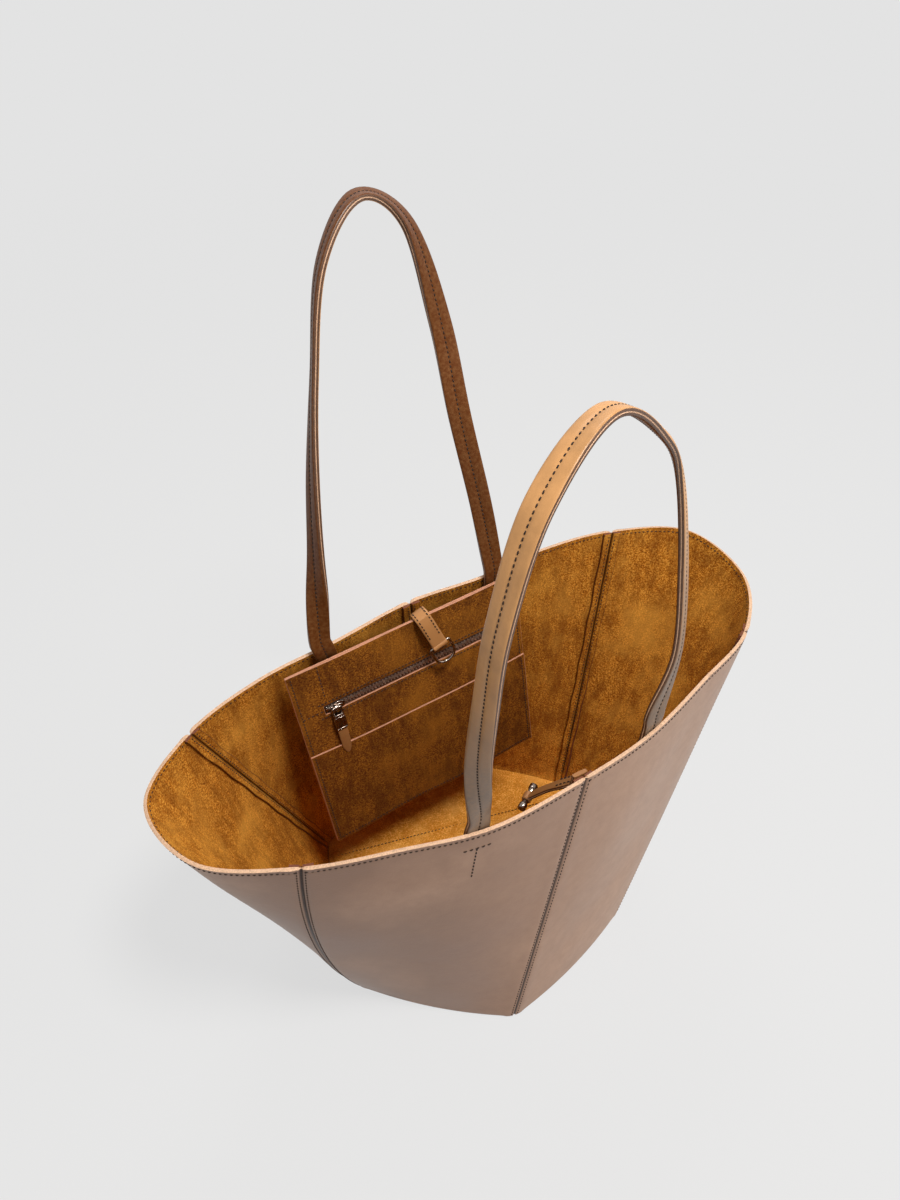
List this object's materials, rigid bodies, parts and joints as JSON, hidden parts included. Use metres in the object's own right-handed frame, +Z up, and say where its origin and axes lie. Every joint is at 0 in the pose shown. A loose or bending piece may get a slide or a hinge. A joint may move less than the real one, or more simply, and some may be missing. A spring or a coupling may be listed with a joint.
{
  "type": "trapeze bag",
  "caption": "Open leather tote with flared panel walls, two arched shoulder straps, a hanging zip pouch, and a toggle and ring closure.",
  "frame": {"origin": "middle of the base, on the surface that the bag stands on", "axes": "+Z up, the front seam at -Y, +X to the right seen from the front"},
  "size_m": [0.4191, 0.2748, 0.5106],
  "materials": {
    "body_leather": "smooth taupe brown leather with a soft grey sheen, suede inside",
    "suede": "golden ochre suede, fully matt",
    "strap_leather": "warm tan smooth leather",
    "pouch_leather": "dark ochre suede, matt",
    "thread": "dark brown sewing thread",
    "zip_tape": "dark brown woven zip tape",
    "dark_metal": "polished dark nickel"
  },
  "bodies": {
    "shell": {"panel_front_left": "body_leather", "panel_front_right": "body_leather", "panel_wing_right": "body_leather", "panel_back_right": "body_leather", "panel_back_left": "body_leather", "panel_wing_left": "body_leather", "floor_panel": "suede", "floor_lap": "suede", "front_strap_feet": "strap_leather", "back_strap_feet": "strap_leather", "foot_stitch": "thread", "ring_tab_root": "strap_leather", "toggle_root": "strap_leather"},
    "front_strap": {"front_strap": "strap_leather"},
    "back_strap": {"back_strap": "strap_leather"},
    "pouch": {"pouch_back": "pouch_leather", "pouch_front": "pouch_leather", "slip_pocket": "pouch_leather", "zip_tapes": "zip_tape", "zip_teeth": "dark_metal", "zip_stops": "dark_metal"},
    "slider": {"zip_slider": "dark_metal"},
    "puller": {"puller_loop": "dark_metal", "puller_collar": "dark_metal", "puller_tag": "strap_leather"},
    "ring_tab": {"ring_tab": "strap_leather"},
    "ring": {"d_ring": "dark_metal"},
    "toggle_strap": {"toggle_strap": "strap_leather"},
    "toggle": {"toggle_bar": "dark_metal", "toggle_caps": "dark_metal"}
  },
  "joints": [
    {"name": "front_strap_swing", "type": "hinge", "parent": "shell", "child": "front_strap", "pos_m": [0.03405, -0.08313, 0.25901], "axis": [0.9496, 0.3096, -0.0498], "range_deg": [-33, 95]},
    {"name": "back_strap_swing", "type": "hinge", "parent": "shell", "child": "back_strap", "pos_m": [-0.02226, 0.06276, 0.26197], "axis": [0.9713, 0.234, 0.0426], "range_deg": [-75, 36]},
    {"name": "pouch_swing", "type": "hinge", "parent": "shell", "child": "pouch", "pos_m": [-0.02948, 0.05887, 0.25498], "axis": [0.9702, 0.2365, 0.0523], "range_deg": [-26, 8]},
    {"name": "zip_slide", "type": "slide", "parent": "pouch", "child": "slider", "axis": [0.9702, 0.2365, 0.0523], "range_m": [0, 0.125]},
    {"name": "puller_swing", "type": "hinge", "parent": "slider", "child": "puller", "pos_m": [-0.08299, 0.03397, 0.21311], "axis": [0.9702, 0.2365, 0.0523], "range_deg": [-150, 0]},
    {"name": "ring_tab_swing", "type": "hinge", "parent": "shell", "child": "ring_tab", "pos_m": [-0.02038, 0.06624, 0.26079], "axis": [0.9097, 0.2612, 0.3229], "range_deg": [-17, 5]},
    {"name": "ring_swing", "type": "hinge", "parent": "ring_tab", "child": "ring", "pos_m": [-0.00644, 0.05094, 0.23389], "axis": [0.9097, 0.2612, 0.3229], "range_deg": [-110, 8]},
    {"name": "toggle_strap_swing", "type": "hinge", "parent": "shell", "child": "toggle_strap", "pos_m": [0.03731, -0.08245, 0.24372], "axis": [0.7071, 0.7071, 0], "range_deg": [-15, 60]},
    {"name": "toggle_spin", "type": "hinge", "parent": "toggle_strap", "child": "toggle", "pos_m": [0.017, -0.0655, 0.21], "axis": [0.7071, 0.7071, 0], "continuous": true}
  ],
  "couplings": [
    {"joint": "ring_tab_swing", "follows": "pouch_swing", "ratio": 0.62}
  ]
}
